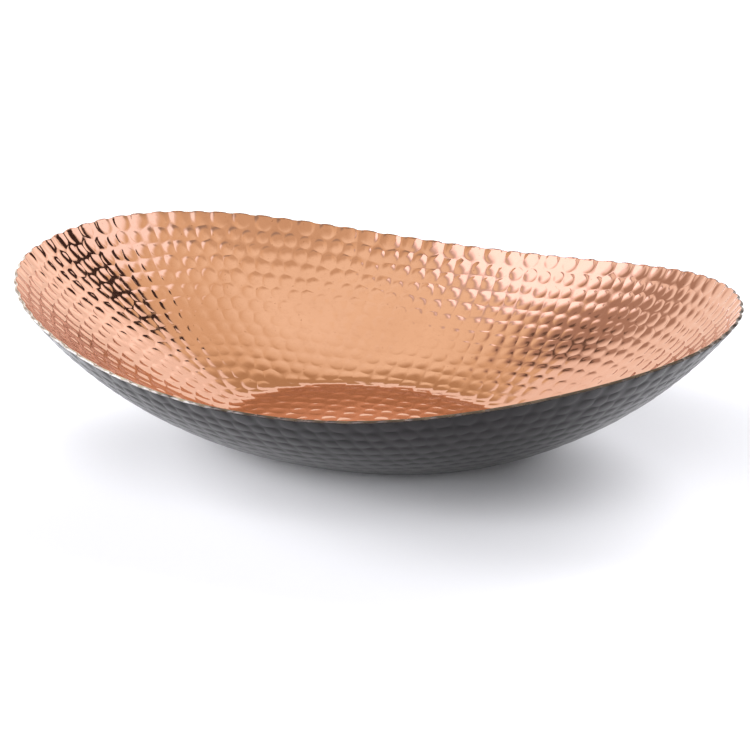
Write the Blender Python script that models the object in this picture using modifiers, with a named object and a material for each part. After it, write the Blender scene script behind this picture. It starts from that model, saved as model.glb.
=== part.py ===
"""Hammered copper bowl: an oval, boat-shaped table bowl that stands on a small flat base.

Two thin sheets are nested: a copper liner that shows on the inside and a dark coated shell that shows on the
outside. A strip of bare metal runs along their shared lip and closes the seam. The sheets are smooth here, at the
mean height of the hammer dents.

Metres, +Z up. The origin is the middle of the flat base, +X runs along the bowl and +Y across it.
"""

import math

import bmesh
import bpy
from mathutils import Vector

# The lip line of the sheets. Its height changes round the bowl: high tips, low sides.
LENGTH = 0.369
WIDTH = 0.2832
TIP_HEIGHT = 0.0765
SHOULDER_HEIGHT = 0.0690
SIDE_HEIGHT = 0.0548
PLAN_EXPONENT = 2.12  # 2 is a plain ellipse, and a higher value is squarer

# The wall's profile, as fractions of the way out from the middle to the lip.
BASE_FLAT = 0.38  # the flat base ends here
WALL_START = 0.46  # the fillet ends here and the wall's arc begins

# Slopes of the wall's arc, before it is scaled to the bowl's size. They sum to 90 degrees.
FOOT_SLOPE = math.radians(28.5)
LIP_SLOPE = math.radians(61.5)

SHEET = 0.0006  # thickness of each sheet
GAP = 0.0003  # clearance between neighbouring pieces
STRIP_WIDTH = 2 * SHEET + GAP  # the strip covers the edges of both sheets
STRIP_HEIGHT = 0.0004

SECTIONS = 80  # facets round the bowl
FILLET_RINGS = 2
WALL_RINGS = 8
PROBE = 0.001  # step for measuring the wall's slope at the lip, as a fraction of its reach
SHARP_ANGLE = math.radians(40)

COLLECTION = "hammered_copper_bowl"


def clear_scene():
    for item in list(bpy.data.objects):
        bpy.data.objects.remove(item, do_unlink=True)


def make_collection():
    collection = bpy.data.collections.new(COLLECTION)
    bpy.context.scene.collection.children.link(collection)
    return collection


def make_material(name, colour, metallic, roughness):
    material = bpy.data.materials.new(name)
    material.use_nodes = True
    shader = material.node_tree.nodes["Principled BSDF"]
    shader.inputs["Base Color"].default_value = (*colour, 1.0)
    shader.inputs["Metallic"].default_value = metallic
    shader.inputs["Roughness"].default_value = roughness
    return material


def fillet_rise(fraction):
    """Height of the fillet, which leaves the flat base level and meets the arc at FOOT_SLOPE."""
    width = WALL_START - BASE_FLAT
    return math.tan(FOOT_SLOPE) * (fraction - BASE_FLAT) ** 2 / (2 * width)


def arc_rise(fraction):
    """Height of the circular arc that climbs from FOOT_SLOPE at WALL_START to LIP_SLOPE at the lip."""
    radius = (1 - WALL_START) / (math.sin(LIP_SLOPE) - math.sin(FOOT_SLOPE))
    sine = math.sin(FOOT_SLOPE) + (fraction - WALL_START) / radius
    return radius * (math.cos(FOOT_SLOPE) - math.sqrt(1 - sine**2))


def profile_rise(fraction):
    """Height of the wall's profile, unscaled: a flat base, the fillet, then the arc."""
    if fraction <= BASE_FLAT:
        return 0.0
    if fraction <= WALL_START:
        return fillet_rise(fraction)
    return fillet_rise(WALL_START) + arc_rise(fraction)


def lip_height(turn):
    """Height of the sheets' lip at a turn round the bowl, where 0 is the +X tip."""
    middle = (TIP_HEIGHT + SIDE_HEIGHT) / 2
    level = (middle + SHOULDER_HEIGHT) / 2
    saddle = (TIP_HEIGHT - SIDE_HEIGHT) / 2
    shoulder = (middle - SHOULDER_HEIGHT) / 2
    return level + saddle * math.cos(2 * turn) + shoulder * math.cos(4 * turn)


def wall_point(fraction, turn):
    """A point of the shell's outer face."""
    power = 2 / PLAN_EXPONENT
    cosine = math.cos(turn)
    sine = math.sin(turn)
    along = math.copysign(abs(cosine) ** power, cosine)
    across = math.copysign(abs(sine) ** power, sine)
    rise = profile_rise(fraction) / profile_rise(1.0)
    return Vector((LENGTH / 2 * fraction * along, WIDTH / 2 * fraction * across, rise * lip_height(turn)))


def ring_fractions():
    """Where the facets' rings lie, from the edge of the flat base to the lip."""
    fractions = [BASE_FLAT]
    for step in range(FILLET_RINGS):
        fractions.append(BASE_FLAT + (WALL_START - BASE_FLAT) * (step + 1) / FILLET_RINGS)
    for step in range(WALL_RINGS):
        fractions.append(WALL_START + (1 - WALL_START) * (step + 1) / WALL_RINGS)
    return fractions


def face_outward(shape):
    """Turn an open surface's faces so that they point down and away from the bowl's hollow."""
    shape.normal_update()
    lowest = min(shape.faces, key=lambda face: face.calc_center_median().z)
    if lowest.normal.z > 0:
        bmesh.ops.reverse_faces(shape, faces=shape.faces)
        shape.normal_update()


def finished_mesh(name, shape):
    mesh = bpy.data.meshes.new(name)
    shape.to_mesh(mesh)
    shape.free()
    mesh.shade_smooth()
    mesh.set_sharp_from_angle(angle=SHARP_ANGLE)
    return mesh


def thicken(item, thickness):
    """Give an open surface its thickness, inward from its outer face."""
    modifier = item.modifiers.new("thickness", "SOLIDIFY")
    modifier.thickness = thickness
    modifier.offset = -1
    modifier.use_even_offset = True


def dish_mesh(name, lift):
    """An open dish, lifted inward off the shell's outer face, with its faces pointing out."""
    dish = bmesh.new()
    profile = [dish.verts.new((0, 0, 0))]
    for fraction in ring_fractions():
        profile.append(dish.verts.new((fraction, 0, 0)))
    edges = [dish.edges.new(pair) for pair in zip(profile, profile[1:])]
    bmesh.ops.spin(
        dish,
        geom=profile + edges,
        cent=(0, 0, 0),
        axis=(0, 0, 1),
        angle=2 * math.pi,
        steps=SECTIONS,
        use_merge=True,
    )
    bmesh.ops.remove_doubles(dish, verts=dish.verts, dist=BASE_FLAT / SECTIONS)
    for vertex in dish.verts:
        fraction = math.hypot(vertex.co.x, vertex.co.y)
        vertex.co = wall_point(fraction, math.atan2(vertex.co.y, vertex.co.x))
    face_outward(dish)
    for vertex in dish.verts:
        vertex.co = vertex.co - vertex.normal * lift
    return finished_mesh(name, dish)


def make_sheet(collection, name, lift, material):
    """One of the two nested sheets, thickened inward from its outer face."""
    sheet = bpy.data.objects.new(name, dish_mesh(name, lift))
    sheet.data.materials.append(material)
    collection.objects.link(sheet)
    thicken(sheet, SHEET)
    return sheet


def strip_point(height, turn):
    """A point beyond the lip of the shell's outer face: height is measured up along the wall."""
    lip = wall_point(1.0, turn)
    upward = (lip - wall_point(1.0 - PROBE, turn)).normalized()
    return lip + upward * height


def strip_mesh(name):
    """An open band that carries the shell's outer face on past the lip, with its faces pointing out."""
    band = bmesh.new()
    lower = band.verts.new((1, 0, GAP))
    upper = band.verts.new((1, 0, GAP + STRIP_HEIGHT))
    edge = band.edges.new((lower, upper))
    bmesh.ops.spin(
        band,
        geom=[lower, upper, edge],
        cent=(0, 0, 0),
        axis=(0, 0, 1),
        angle=2 * math.pi,
        steps=SECTIONS,
        use_merge=True,
    )
    bmesh.ops.remove_doubles(band, verts=band.verts, dist=STRIP_HEIGHT / 4)
    for vertex in band.verts:
        vertex.co = strip_point(vertex.co.z, math.atan2(vertex.co.y, vertex.co.x))
    face_outward(band)
    return finished_mesh(name, band)


def make_strip(collection, name, material):
    """The bare-metal strip: as wide as both sheets together, it follows the lip all the way round."""
    strip = bpy.data.objects.new(name, strip_mesh(name))
    strip.data.materials.append(material)
    collection.objects.link(strip)
    thicken(strip, STRIP_WIDTH)
    return strip


def main():
    clear_scene()
    collection = make_collection()
    copper = make_material("polished_copper", (0.86, 0.42, 0.24), 1.0, 0.12)
    coating = make_material("dark_coating", (0.045, 0.042, 0.043), 0.6, 0.35)
    bare_metal = make_material("bare_rim", (0.72, 0.72, 0.70), 1.0, 0.25)
    make_sheet(collection, "outer_shell", 0.0, coating)
    make_sheet(collection, "copper_liner", SHEET + GAP, copper)
    make_strip(collection, "rim_strip", bare_metal)


main()
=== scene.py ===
"""Looks of the hammered copper bowl: fine hammered sheets, finishes, studio and camera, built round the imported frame."""

import math

import bmesh
import bpy
import numpy as np
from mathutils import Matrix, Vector


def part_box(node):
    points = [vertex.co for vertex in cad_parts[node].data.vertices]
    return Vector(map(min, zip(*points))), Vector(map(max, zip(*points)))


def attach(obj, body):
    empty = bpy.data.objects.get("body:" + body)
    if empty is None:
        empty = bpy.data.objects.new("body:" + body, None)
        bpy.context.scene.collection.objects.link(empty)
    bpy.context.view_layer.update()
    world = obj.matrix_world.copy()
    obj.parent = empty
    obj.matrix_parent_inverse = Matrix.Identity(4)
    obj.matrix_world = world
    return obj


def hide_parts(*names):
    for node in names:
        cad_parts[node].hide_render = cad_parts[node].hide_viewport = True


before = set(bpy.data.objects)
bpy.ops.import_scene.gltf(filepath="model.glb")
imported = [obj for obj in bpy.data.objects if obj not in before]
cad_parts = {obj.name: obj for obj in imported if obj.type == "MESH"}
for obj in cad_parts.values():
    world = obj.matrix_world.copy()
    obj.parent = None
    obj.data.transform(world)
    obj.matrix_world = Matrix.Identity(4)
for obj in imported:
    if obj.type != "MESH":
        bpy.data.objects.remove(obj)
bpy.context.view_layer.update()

# The bowl's mean surface, from the frame: the same formula as the CAD sheets.
SHELL_LOW, SHELL_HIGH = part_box("outer_shell")
STRIP_LOW, STRIP_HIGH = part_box("rim_strip")
LINER_LOW, LINER_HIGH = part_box("copper_liner")
HALF_LENGTH = SHELL_HIGH.x
HALF_WIDTH = SHELL_HIGH.y
SHEET = 0.0006
GAP = 0.0003
WALL = 2 * SHEET + GAP
STRIP_HEIGHT = 0.0003
TIP_HEIGHT = 0.0765
SHOULDER_HEIGHT = 0.0690
SIDE_HEIGHT = 0.0548
PLAN_POWER = 2 / 2.12
BASE_FLAT = 0.38
WALL_START = 0.46
FOOT_SLOPE = math.radians(28.5)
LIP_SLOPE = math.radians(61.5)

# Hammer dents: rows that follow the lip, from the lip in to the middle of the floor. Lengths are measured
# on the sheet as if it were unrolled flat.
SEED = 7
DENT_PITCH = 0.0090
ROW_SPACING = 0.0086
RIM_DENTS = 87
RIM_ROW_IN = 0.0030
SECOND_ROW_IN = 0.0122
DENT_RADIUS = 0.0044
DENT_DEPTH = 0.00017
RIM_RADIUS = 0.0056
CURVE = DENT_DEPTH / DENT_RADIUS**2  # one hammer face makes every dent, so they all curve alike
FACE_POWER = 1.7  # over 1, because the hammer's face is flatter in its middle than at its edge
RIM_DEEPENING = 0.95
RIM_REACH = 0.0640
FLOOR_SHARE = 0.62  # the dents on the flat floor are this shallow beside those on the wall
DEPTH_SPREAD = 0.28
PLACE_SPREAD = 0.15
DEEPEST = (1 + DEPTH_SPREAD) * DENT_DEPTH
MEAN_DEPTH = 0.62 * DENT_DEPTH
SHELL_SHARE = 0.85
STRIKE_TILT = 0.5  # the hammer is held at a slant, so each dent is deeper and crisper on its lip side
SCALLOP = 0.0008
SCALLOP_REACH = 0.0050

LIP_SIDES = 960
CELL_STEP = 0.0018
CELL_RINGS = (1.0, 0.96, 0.82, 0.46)
BACK_COLUMNS = 120
BACK_RINGS = 48
BACK_MARK = -1.0  # the height that marks the plain back's points on the unrolled sheet
BEND_STEP = 1e-4

# ---------------------------------------------------------------- mean surface

def fillet_rise(s):
    return math.tan(FOOT_SLOPE) * (s - BASE_FLAT) ** 2 / (2 * (WALL_START - BASE_FLAT))


def arc_rise(s):
    radius = (1 - WALL_START) / (math.sin(LIP_SLOPE) - math.sin(FOOT_SLOPE))
    sine = math.sin(FOOT_SLOPE) + (np.maximum(s, WALL_START) - WALL_START) / radius
    return radius * (math.cos(FOOT_SLOPE) - np.sqrt(1 - sine**2))


def profile_rise(s):
    """Height of the wall over the flat base, as a share of the lip's height."""
    foot = fillet_rise(np.clip(s, BASE_FLAT, WALL_START))
    whole = fillet_rise(WALL_START) + arc_rise(np.array(1.0))
    return (foot + arc_rise(s)) / whole


def lip_height(turn):
    middle = (TIP_HEIGHT + SIDE_HEIGHT) / 2
    level = (middle + SHOULDER_HEIGHT) / 2
    saddle = (TIP_HEIGHT - SIDE_HEIGHT) / 2
    shoulder = (middle - SHOULDER_HEIGHT) / 2
    return level + saddle * np.cos(2 * turn) + shoulder * np.cos(4 * turn)


def wall_points(s, turn):
    """Points of the shell's smooth outer face."""
    cosine, sine = np.cos(turn), np.sin(turn)
    x = HALF_LENGTH * s * np.sign(cosine) * np.abs(cosine) ** PLAN_POWER
    y = HALF_WIDTH * s * np.sign(sine) * np.abs(sine) ** PLAN_POWER
    return np.stack([x, y, profile_rise(s) * lip_height(turn)], -1)


def unit(vectors):
    return vectors / np.maximum(np.linalg.norm(vectors, axis=-1, keepdims=True), 1e-12)


def wall_frame(s, turn):
    """Outward normals, and directions up along the wall, at points of the smooth surface."""
    inner = np.maximum(s, 0.02)
    up = unit(wall_points(inner, turn) - wall_points(inner - BEND_STEP, turn))
    around = unit(wall_points(inner, turn + BEND_STEP) - wall_points(inner, turn - BEND_STEP))
    return unit(np.cross(up, around)) * [[-1, -1, -1]], up


def path_lengths(points):
    steps = np.linalg.norm(np.diff(points, axis=0), axis=-1)
    return np.concatenate([[0], np.cumsum(steps)])


PROFILE_S = np.linspace(0, 1, 801)
LONG_RUN = path_lengths(wall_points(PROFILE_S, np.zeros(801)))
SHORT_RUN = path_lengths(wall_points(PROFILE_S, np.full(801, math.pi / 2)))
FLAT_LENGTH = LONG_RUN[-1]
FLAT_WIDTH = SHORT_RUN[-1]


def flat_points(reach, turn):
    """Places on the unrolled sheet, as complex numbers, at a share of the way out to the lip."""
    cosine, sine = np.cos(turn), np.sin(turn)
    along = np.sign(cosine) * np.abs(cosine) ** PLAN_POWER
    across = np.sign(sine) * np.abs(sine) ** PLAN_POWER
    return reach * (FLAT_LENGTH * along + 1j * FLAT_WIDTH * across)


def unflatten(place):
    """The share of the way out and the turn at places on the unrolled sheet."""
    along = np.abs(place.real) / FLAT_LENGTH
    across = np.abs(place.imag) / FLAT_WIDTH
    power = 2 / PLAN_POWER
    reach = (along**power + across**power) ** (1 / power)
    cosine = np.sign(place.real) * along ** (power / 2)
    sine = np.sign(place.imag) * across ** (power / 2)
    return reach, np.arctan2(sine, cosine)


# ---------------------------------------------------------------- hammer dents

def lip_outline(count):
    """Evenly spaced places round the lip of the unrolled sheet."""
    turns = np.linspace(0, 2 * np.pi, 4 * count + 1)
    places = flat_points(1.0, turns)
    run = np.concatenate([[0], np.cumsum(np.abs(np.diff(places)))])
    return flat_points(1.0, np.interp(np.arange(count) / count * run[-1], run, turns))


def dent_centres():
    """Places and depths of the dents: offset rows inside the lip, each row shifted against the last."""
    random = np.random.default_rng(SEED)
    lip = lip_outline(2400)
    direction = np.roll(lip, -1) - np.roll(lip, 1)
    inward = 1j * direction / np.abs(direction)
    places, depths = [], []
    depth_in, row = RIM_ROW_IN, 0
    while depth_in < FLAT_WIDTH:
        track = lip + inward * depth_in
        run = np.concatenate([[0], np.cumsum(np.abs(np.roll(track, -1) - track))])
        count = RIM_DENTS if row == 0 else max(3, round(run[-1] / DENT_PITCH))
        spread = 0.3 * PLACE_SPREAD if row == 0 else PLACE_SPREAD
        steps = (np.arange(count) + 0.5 * (row % 2) + random.uniform(-spread, spread, count)) / count
        turns = np.interp(np.mod(steps, 1) * run[-1], run, np.arange(len(run)))
        spots = np.interp(turns, np.arange(len(run)), np.append(track.real, track.real[0]))
        spots = spots + 1j * np.interp(turns, np.arange(len(run)), np.append(track.imag, track.imag[0]))
        slides = random.uniform(-0.7, 0.7, count) * spread * ROW_SPACING
        swell = 1 + random.uniform(-DEPTH_SPREAD, DEPTH_SPREAD, count) * (0.5 if row == 0 else 1)
        radius = RIM_RADIUS if row == 0 else DENT_RADIUS
        for spot, slide, grow in zip(spots, slides, swell):
            spot = complex(spot) + slide * unit_complex(-complex(spot))
            clear = np.abs(lip - spot).min() > depth_in - 0.25 * ROW_SPACING
            roomy = not places or np.abs(np.array(places) - spot).min() > 0.68 * DENT_PITCH
            if clear and roomy:
                places.append(spot)
                depths.append(CURVE * radius**2 * grow)
        depth_in = SECOND_ROW_IN if row == 0 else depth_in + ROW_SPACING
        row += 1
    return np.array(places), np.array(depths)


def unit_complex(value):
    return value / max(abs(value), 1e-9)


def clip(polygon, normal, limit):
    """The part of a convex polygon where the dot product with normal stays under limit."""
    kept = []
    for index, corner in enumerate(polygon):
        before = polygon[index - 1]
        side = (corner * normal.conjugate()).real - limit
        side_before = (before * normal.conjugate()).real - limit
        if (side <= 0) != (side_before <= 0):
            kept.append(before + (corner - before) * (side_before / (side_before - side)))
        if side <= 0:
            kept.append(corner)
    return kept


def dent_cells(places, depths):
    """Each dent's cell: where it is the deepest of them all, bounded by straight ridges and by the lip."""
    lip = lip_outline(LIP_SIDES)
    lip_next = np.roll(lip, -1)
    weights = depths / CURVE
    cells = []
    for index, place in enumerate(places):
        reach = 2.6 * DENT_PITCH
        polygon = [place + reach * corner for corner in (1 + 1j, -1 + 1j, -1 - 1j, 1 - 1j)]
        distance = np.abs(places - place)
        for other in np.argsort(distance)[1:22]:
            normal = complex(places[other] - place)
            limit = (abs(places[other]) ** 2 - abs(place) ** 2 - weights[other] + weights[index]) / 2
            polygon = clip(polygon, normal, limit)
        for side in np.nonzero(np.abs(lip - place) < reach)[0]:
            normal = complex(-1j * (lip_next[side] - lip[side]))
            polygon = clip(polygon, normal, (complex(lip[side]) * normal.conjugate()).real)
        cells.append(polygon)
    return cells


# ---------------------------------------------------------------- pieces

def pressed(height):
    """The depth of a dent where a plain curved one would have this height: steep sides and a flatter middle."""
    return DEEPEST * (1 - max(0.0, 1 - height / DEEPEST) ** FACE_POWER)


def cell_mesh(points, faces, place, depth, polygon):
    """Adds one dent: its ridge, and rings of points from the dent's round edge down to its middle."""
    radius = math.sqrt(depth / CURVE)
    border = []
    for index, start in enumerate(polygon):
        finish = polygon[(index + 1) % len(polygon)]
        count = max(1, int(abs(finish - start) / CELL_STEP + 0.5))
        border += [start + (finish - start) * step / count for step in range(count)]
    first, size = len(points), len(border)
    towards_lip = unit_complex(place)
    for fraction in (*CELL_RINGS, 0.0):
        ring = border if fraction else border[:1]
        for corner in ring:
            out = abs(corner - place)
            reach = out if fraction == 1 else fraction * min(out, radius / CELL_RINGS[1])
            spot = place + reach / out * (corner - place)
            height = pressed(max(0.0, depth - CURVE * abs(spot - place) ** 2))
            if fraction < 1:
                height *= 1 + STRIKE_TILT * ((spot - place) * towards_lip.conjugate()).real / radius
            points.append((spot.real, spot.imag, height))
    for ring in range(len(CELL_RINGS)):
        start = first + ring * size
        for index in range(size):
            after = (index + 1) % size
            if ring + 1 < len(CELL_RINGS):
                faces.append((start + index, start + after, start + size + after, start + size + index))
            else:
                faces.append((start + index, start + after, start + size))


def flat_sheet():
    """The hammered sheet unrolled flat: its dents, and a plain back below them, joined to them round the lip."""
    places, depths = dent_centres()
    points, faces = [], []
    for place, depth, polygon in zip(places, depths, dent_cells(places, depths)):
        cell_mesh(points, faces, complex(place), float(depth), polygon)
    mesh = bpy.data.meshes.new("flat_sheet")
    mesh.from_pydata(points, [], faces)
    shape = bmesh.new()
    shape.from_mesh(mesh)
    bmesh.ops.remove_doubles(shape, verts=shape.verts, dist=1e-6)
    lip = sorted((v for v in shape.verts if v.is_boundary), key=lip_angle)
    rings = []
    for number in range(BACK_RINGS, 0, -1):
        turns = np.arange(BACK_COLUMNS) / BACK_COLUMNS * 2 * np.pi - np.pi + 1e-4
        spots = flat_points(number / BACK_RINGS, turns)
        rings.append([shape.verts.new((spot.real, spot.imag, BACK_MARK)) for spot in spots])
    middle = shape.verts.new((0, 0, BACK_MARK))
    for outer, inner in zip(rings, rings[1:]):
        for index in range(BACK_COLUMNS):
            after = (index + 1) % BACK_COLUMNS
            shape.faces.new((outer[after], outer[index], inner[index], inner[after]))
    for index in range(BACK_COLUMNS):
        shape.faces.new((rings[-1][(index + 1) % BACK_COLUMNS], rings[-1][index], middle))
    join_loops(shape, lip, rings[0])
    outline = np.array([vertex.co[:] for vertex in lip])
    shape.to_mesh(mesh)
    shape.free()
    return mesh, outline


def lip_angle(vertex):
    return math.atan2(vertex.co.y / FLAT_WIDTH, vertex.co.x / FLAT_LENGTH)


def join_loops(shape, lip, back):
    """Fills the sheet's edge between the lip's points and the back's outer ring with triangles."""
    at_lip = at_back = 0
    while at_lip < len(lip) or at_back < len(back):
        lip_now, back_now = lip[at_lip % len(lip)], back[at_back % len(back)]
        lip_turn = lip_angle(lip[at_lip + 1]) if at_lip + 1 < len(lip) else math.inf
        back_turn = lip_angle(back[at_back + 1]) if at_back + 1 < len(back) else math.inf
        step_lip = at_back >= len(back) or (at_lip < len(lip) and lip_turn <= back_turn)
        if step_lip:
            shape.faces.new((lip[(at_lip + 1) % len(lip)], lip_now, back_now))
            at_lip += 1
        else:
            shape.faces.new((lip_now, back_now, back[(at_back + 1) % len(back)]))
            at_back += 1


def smoothstep(low, high, value):
    t = np.clip((value - low) / (high - low), 0, 1)
    return t * t * (3 - 2 * t)


def bend(flat, lift, share, beyond=0.0, resting=False):
    """Bends unrolled points onto the bowl, lifted inward off the shell's mean outer face."""
    reach, turn = unflatten(flat[:, 0] + 1j * flat[:, 1])
    s = np.interp(reach * FLAT_WIDTH, SHORT_RUN, PROFILE_S)
    normal, up = wall_frame(s, turn)
    level = MEAN_DEPTH
    if resting:
        level = level + (DEEPEST - MEAN_DEPTH) * smoothstep(WALL_START, BASE_FLAT, s)
    inward = (1 - reach) * FLAT_WIDTH
    deepen = FLOOR_SHARE + (1 - FLOOR_SHARE) * smoothstep(BASE_FLAT, WALL_START, s)
    deepen = deepen + RIM_DEEPENING * smoothstep(RIM_REACH, 0.0, inward)
    push = share * deepen * (flat[:, 2] - level) - lift
    edge = smoothstep(SCALLOP_REACH, 0.0, inward)
    bulge = np.clip(flat[:, 2] / DEEPEST, 0, 1) - 0.5
    extend = edge * (SCALLOP * bulge + 0.9 * GAP) + beyond
    return wall_points(s, turn) + normal * push[:, None] + up * extend[:, None]


def add_piece(name, mesh):
    mesh.shade_smooth()
    mesh.set_sharp_from_angle(angle=math.radians(50))
    piece = bpy.data.objects.new(name, mesh)
    bpy.context.scene.collection.objects.link(piece)
    return piece


def make_sheet(name, flat, front_lift, back_lift, share, outside):
    """A closed thin sheet bent from the flat one."""
    mesh = flat.copy()
    mesh.name = name
    coordinates = np.zeros(len(mesh.vertices) * 3)
    mesh.vertices.foreach_get("co", coordinates)
    points = coordinates.reshape(-1, 3)
    back = points[:, 2] < 0
    bent = np.zeros_like(points)
    bent[~back] = bend(points[~back], front_lift, share, resting=outside)
    bent[back] = bend(points[back], back_lift, 0.0)
    mesh.vertices.foreach_set("co", bent.astype(np.float32).ravel())
    if outside:
        mesh.flip_normals()
    mesh.update()
    return add_piece(name, mesh)


# The strip's section, across the two sheets and up past their edges.
SECTION = (
    (0.00, 0.15), (0.04, 0.65), (0.16, 0.94), (0.50, 1.00), (0.84, 0.94),
    (0.96, 0.65), (1.00, 0.15), (0.96, 0.00), (0.50, 0.00), (0.04, 0.00),
)


def make_strip(outline):
    """The bare strip, swept along the scalloped lip."""
    columns = []
    for across, height in SECTION:
        rise = 0.1 * GAP + height * STRIP_HEIGHT
        share = SHELL_SHARE + (1 - SHELL_SHARE) * across
        columns.append(bend(outline, across * WALL, share, rise))
    count, size = len(outline), len(SECTION)
    points = np.stack(columns, 1).reshape(-1, 3)
    faces = []
    for index in range(count):
        for side in range(size):
            here, after = index * size, (index + 1) % count * size
            next_side = (side + 1) % size
            faces.append((here + side, after + side, after + next_side, here + next_side))
    mesh = bpy.data.meshes.new("lip_strip")
    mesh.from_pydata(points.tolist(), [], faces)
    mesh.update()
    return add_piece("lip_strip", mesh)


# ---------------------------------------------------------------- materials

class Graph:
    """Short calls for building a node tree."""

    def __init__(self, tree):
        self.tree = tree
        self.nodes = tree.nodes
        self.links = tree.links

    def add(self, kind, **settings):
        node = self.nodes.new(kind)
        for key, value in settings.items():
            setattr(node, key, value)
        return node

    def put(self, socket, value):
        if isinstance(value, bpy.types.NodeSocket):
            self.links.new(value, socket)
        elif isinstance(value, (tuple, list)) and len(value) == 3 and socket.type == "RGBA":
            socket.default_value = (*value, 1.0)
        else:
            socket.default_value = value

    def math(self, operation, *values):
        node = self.add("ShaderNodeMath", operation=operation)
        for socket, value in zip(node.inputs, values):
            self.put(socket, value)
        return node.outputs[0]

    def ramp(self, value, low, high, start=0.0, end=1.0):
        node = self.add("ShaderNodeMapRange", interpolation_type="SMOOTHSTEP")
        for socket, item in zip(node.inputs, (value, low, high, start, end)):
            self.put(socket, item)
        return node.outputs[0]

    def mix(self, share, first, second):
        node = self.add("ShaderNodeMix", data_type="RGBA")
        self.put(node.inputs[0], share)
        self.put(node.inputs[6], first)
        self.put(node.inputs[7], second)
        return node.outputs[2]

    def noise(self, place, scale, detail=3.0, roughness=0.5):
        node = self.add("ShaderNodeTexNoise")
        self.put(node.inputs["Vector"], place)
        self.put(node.inputs["Scale"], scale)
        self.put(node.inputs["Detail"], detail)
        self.put(node.inputs["Roughness"], roughness)
        return node.outputs["Fac"]

    def bump(self, height, distance, strength=1.0, under=None):
        node = self.add("ShaderNodeBump")
        self.put(node.inputs["Height"], height)
        self.put(node.inputs["Distance"], distance)
        self.put(node.inputs["Strength"], strength)
        if under is not None:
            self.put(node.inputs["Normal"], under)
        return node.outputs["Normal"]


def new_material(name):
    material = bpy.data.materials.new(name)
    material.use_nodes = True
    graph = Graph(material.node_tree)
    shader = graph.nodes["Principled BSDF"]
    place = graph.add("ShaderNodeTexCoord").outputs["Object"]
    return material, graph, shader, place


def copper_material():
    material, graph, shader, place = new_material("polished_copper")
    cloud = graph.noise(place, 14.0, 4.0, 0.6)
    tint = graph.ramp(cloud, 0.35, 0.68)
    colour = graph.mix(tint, (0.70, 0.415, 0.320), (0.66, 0.382, 0.288))
    blotch = graph.ramp(graph.noise(place, 230.0, 5.0, 0.65), 0.46, 0.74, 0.0, 0.45)
    colour = graph.mix(blotch, colour, (0.60, 0.335, 0.245))
    pit = graph.ramp(graph.noise(place, 520.0, 2.0, 0.5), 0.70, 0.76, 0.0, 0.5)
    graph.put(shader.inputs["Base Color"], graph.mix(pit, colour, (0.40, 0.20, 0.13)))
    graph.put(shader.inputs["Metallic"], 1.0)
    smear = graph.noise(place, 60.0, 5.0, 0.65)
    graph.put(shader.inputs["Roughness"], graph.ramp(smear, 0.3, 0.75, 0.045, 0.11))
    fine = graph.noise(place, 420.0, 3.0, 0.6)
    graph.put(shader.inputs["Normal"], graph.bump(fine, 0.00003, 0.25))
    return material


def shell_material():
    material, graph, shader, place = new_material("dark_coating")
    cloud = graph.noise(place, 22.0, 4.0, 0.6)
    colour = graph.mix(graph.ramp(cloud, 0.3, 0.7), (0.009, 0.006, 0.007), (0.005, 0.004, 0.004))
    graph.put(shader.inputs["Base Color"], colour)
    graph.put(shader.inputs["IOR"], 1.335)
    graph.put(shader.inputs["Specular Tint"], (1.0, 0.95, 0.965))
    grain = graph.noise(place, 150.0, 4.0, 0.6)
    graph.put(shader.inputs["Roughness"], graph.ramp(grain, 0.3, 0.7, 0.19, 0.24))
    fine = graph.noise(place, 900.0, 2.0, 0.5)
    graph.put(shader.inputs["Normal"], graph.bump(fine, 0.00002, 0.15))
    return material


def strip_material():
    """Painted highlight and real coating: bright bare steel on the bowl's left stands in for the grazing
    highlight on that side of the lip, and the dark coating is carried further over it towards the right.
    """
    material, graph, shader, place = new_material("bare_rim")
    split = graph.add("ShaderNodeSeparateXYZ")
    graph.put(split.inputs[0], place)
    patch = graph.noise(place, 70.0, 3.0, 0.6)
    # Painted highlight: the strip turns from bright steel to dark coating along the bowl's X, staying bright on
    # the left where the highlight falls.
    drift = graph.math("ADD", split.outputs[0], graph.math("MULTIPLY", graph.math("SUBTRACT", patch, 0.5), 0.16))
    coating_vs_highlight = graph.ramp(drift, -0.09, 0.01)
    scuff = graph.ramp(graph.noise(place, 160.0, 3.0, 0.6), 0.4, 0.7)
    steel = graph.mix(scuff, (0.72, 0.71, 0.70), (0.50, 0.48, 0.46))
    coat = graph.mix(scuff, (0.10, 0.085, 0.08), (0.17, 0.14, 0.125))
    graph.put(shader.inputs["Base Color"], graph.mix(coating_vs_highlight, steel, coat))
    graph.put(shader.inputs["Metallic"], 1.0)
    graph.put(shader.inputs["Roughness"], graph.ramp(scuff, 0.0, 1.0, 0.18, 0.32))
    return material


def floor_material():
    material, graph, shader, place = new_material("white_floor")
    graph.put(shader.inputs["Base Color"], (0.93, 0.93, 0.93))
    graph.put(shader.inputs["Roughness"], 0.9)
    graph.put(shader.inputs["Specular IOR Level"], 0.1)
    return material


# ---------------------------------------------------------------- studio

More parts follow.
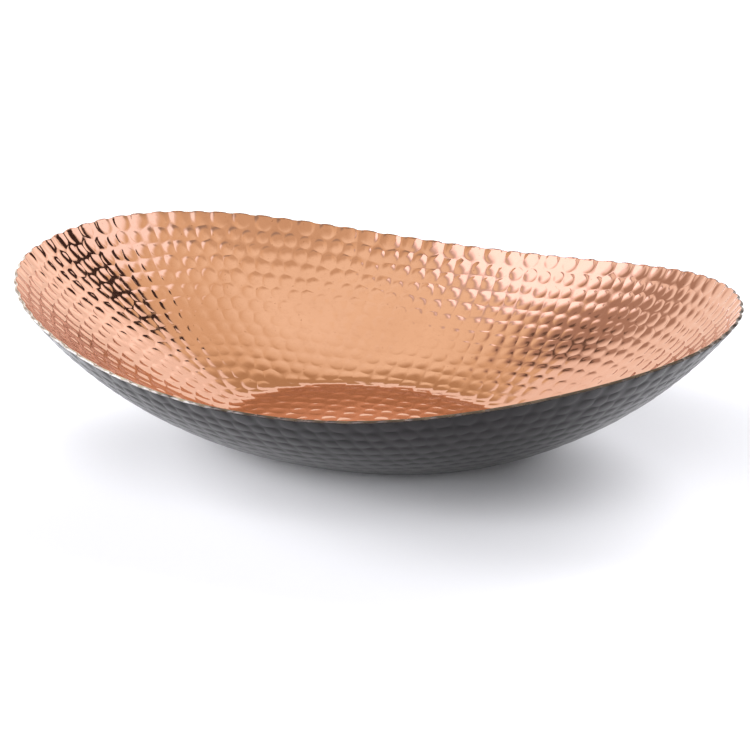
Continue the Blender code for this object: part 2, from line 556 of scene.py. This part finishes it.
# Panels of the studio, as seen from the bowl, in degrees: compass turns where it starts and ends (0 is the
# front and 90 is +X), lowest and highest elevation, how soft those four edges are, lean, and brightness.
PANELS = (
    ("left_ceiling", (-145, -50, 57, 110), (14, 10, 8, 1), 0.0, (1.22, 1.08, 0.80)),
    ("front_ceiling", (8, 84, 42, 72), (12, 14, 6, 8), 0.0, (0.88, 0.70, 0.47)),
    ("warm_corner", (-184, -134, 40, 59), (8, 8, 1, 5), 0.0, (0.66, 0.47, 0.27)),
    ("front_dusk", (-65, 110, -10, 46), (10, 12, 1, 8), 0.0, (0.50, 0.42, 0.33)),
    ("key_border", (-90, -22, 30, 66), (6, 1, 2, 4), 0.0, (0.30, 0.22, 0.17)),
    ("key", (-89, -24, 33, 62), (10, 1.5, 3, 7), 0.0, (2.08, 2.00, 2.10)),
    ("left_gap", (-121, -96, 20, 54), (5, 6, 6, 5), 0.0, (0.57, 0.42, 0.33)),
    ("left_slot", (-118, -112, 38, 49), (2, 2, 3, 3), 0.0, (0.17, 0.12, 0.09)),
    ("back_glow", (157, 170, 0, 34), (3, 6, 1, 4), 0.4, (1.62, 1.54, 1.46)),
    ("right_wall", (98, 140, 22, 48), (9, 3, 6, 6), 0.0, (1.56, 1.57, 1.60)),
    ("right_gap", (139.5, 157, 15, 44), (0.6, 0.6, 2, 2), 0.75, (0.06, 0.04, 0.035)),
)
BACKDROP = (1.26, 1.15, 1.03)
CEILING_LOW = (1.02, 0.82, 0.54)
CEILING_HIGH = (1.24, 1.12, 0.86)
BACKDROP_TOP = 43.0
SEEN_WHITE = (1.0, 1.0, 1.0)


def panel_mask(graph, turn, elevation, edges, softness, lean):
    start, finish, low, high = edges
    soft_start, soft_finish, soft_low, soft_high = softness
    leaning = graph.math("MULTIPLY", graph.math("SUBTRACT", elevation, (low + high) / 2), lean)
    offset = graph.math("SUBTRACT", graph.math("SUBTRACT", turn, (start + finish) / 2), leaning)
    away = graph.math("WRAP", offset, 180.0, -180.0)
    half = (finish - start) / 2
    masks = (
        graph.ramp(away, -half - soft_start, -half + soft_start),
        graph.ramp(away, half + soft_finish, half - soft_finish),
        graph.ramp(elevation, low - soft_low, low + soft_low),
        graph.ramp(elevation, high + soft_high, high - soft_high),
    )
    product = masks[0]
    for mask in masks[1:]:
        product = graph.math("MULTIPLY", product, mask)
    return product


def make_world():
    world = bpy.data.worlds.new("studio")
    world.use_nodes = True
    bpy.context.scene.world = world
    world.cycles_visibility.diffuse = False
    graph = Graph(world.node_tree)
    background = graph.nodes["Background"]
    direction = graph.add("ShaderNodeTexCoord").outputs["Generated"]
    split = graph.add("ShaderNodeSeparateXYZ")
    graph.put(split.inputs[0], direction)
    x, y, z = split.outputs
    to_degrees = 180 / math.pi
    turn = graph.math("MULTIPLY", graph.math("ARCTAN2", x, graph.math("MULTIPLY", y, -1.0)), to_degrees)
    elevation = graph.math("MULTIPLY", graph.math("ARCSINE", z), to_degrees)
    ceiling = graph.mix(graph.ramp(elevation, 52.0, 78.0), CEILING_LOW, CEILING_HIGH)
    colour = graph.mix(graph.ramp(elevation, BACKDROP_TOP - 0.8, BACKDROP_TOP + 0.8), BACKDROP, ceiling)
    for name, edges, softness, lean, shade in PANELS:
        colour = graph.mix(panel_mask(graph, turn, elevation, edges, softness, lean), colour, shade)
    camera_ray = graph.add("ShaderNodeLightPath").outputs["Is Camera Ray"]
    graph.put(background.inputs["Color"], graph.mix(camera_ray, colour, SEEN_WHITE))


FLOOR_RADIUS = 8.0
# Soft light from all round that only falls on the floor: compass turn, elevation and strength.
FLOOR_SUNS = (
    ("back_sun", 180, 20, 5.8),
    ("left_sun", -90, 20, 4.0),
    ("front_left_sun", -45, 20, 2.9),
    ("front_right_sun", 45, 20, 1.3),
    ("high_sun", 45, 60, 0.75),
)
SUN_SPREAD = 40
SUN_COLOUR = (0.955, 0.955, 1.0)


def make_floor():
    mesh = bpy.data.meshes.new("floor")
    shape = bmesh.new()
    bmesh.ops.create_circle(shape, cap_ends=True, segments=96, radius=FLOOR_RADIUS)
    shape.to_mesh(mesh)
    shape.free()
    floor = bpy.data.objects.new("floor", mesh)
    bpy.context.scene.collection.objects.link(floor)
    floor.data.materials.append(floor_material())
    return floor


def make_floor_suns(floor):
    receivers = bpy.data.collections.new("floor_light_receivers")
    receivers.objects.link(floor)
    for name, turn, elevation, strength in FLOOR_SUNS:
        sun = bpy.data.lights.new(name, "SUN")
        sun.angle = math.radians(SUN_SPREAD)
        sun.energy = strength
        sun.color = SUN_COLOUR
        item = bpy.data.objects.new(name, sun)
        flat = math.cos(math.radians(elevation))
        across, ahead = math.sin(math.radians(turn)), math.cos(math.radians(turn))
        towards = Vector((across * flat, -ahead * flat, math.sin(math.radians(elevation))))
        item.rotation_euler = (-towards).to_track_quat("-Z", "Y").to_euler()
        bpy.context.scene.collection.objects.link(item)
        item.light_linking.receiver_collection = receivers


CAMERA_TURN = math.radians(24.1)
CAMERA_ELEVATION = math.radians(18.17)
CAMERA_DISTANCE = 1.48
LENS = 142.9
AIM_BELOW_LIP = 0.0367
AIM_ASIDE = 0.0010


def make_camera():
    lip_middle = Vector((0, 0, ((TIP_HEIGHT + SIDE_HEIGHT) / 2 + SHOULDER_HEIGHT) / 2 + STRIP_HEIGHT))
    flat = math.cos(CAMERA_ELEVATION)
    back = Vector((
        math.sin(CAMERA_TURN) * flat,
        -math.cos(CAMERA_TURN) * flat,
        math.sin(CAMERA_ELEVATION),
    ))
    right = Vector((0, 0, 1)).cross(back).normalized()
    up = back.cross(right)
    lens = bpy.data.cameras.new("camera")
    lens.lens = LENS
    lens.sensor_width = 36.0
    camera = bpy.data.objects.new("camera", lens)
    camera.location = lip_middle + back * CAMERA_DISTANCE
    target = lip_middle - up * AIM_BELOW_LIP + right * AIM_ASIDE
    camera.rotation_euler = (target - camera.location).to_track_quat("-Z", "Y").to_euler()
    bpy.context.scene.collection.objects.link(camera)
    bpy.context.scene.camera = camera


# ---------------------------------------------------------------- assembly

def stand_in(piece, node, material):
    piece.data.materials.append(material)
    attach(piece, "root")
    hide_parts(node)


flat, outline = flat_sheet()
liner = make_sheet("hammered_liner", flat, WALL, WALL - SHEET, 1.0, False)
shell = make_sheet("hammered_shell", flat, 0.0, SHEET, SHELL_SHARE, True)
stand_in(liner, "copper_liner", copper_material())
stand_in(shell, "outer_shell", shell_material())
stand_in(make_strip(outline), "rim_strip", strip_material())
bpy.data.meshes.remove(flat)
make_world()
make_floor_suns(make_floor())
make_camera()
bpy.context.scene.view_settings.view_transform = "Standard"
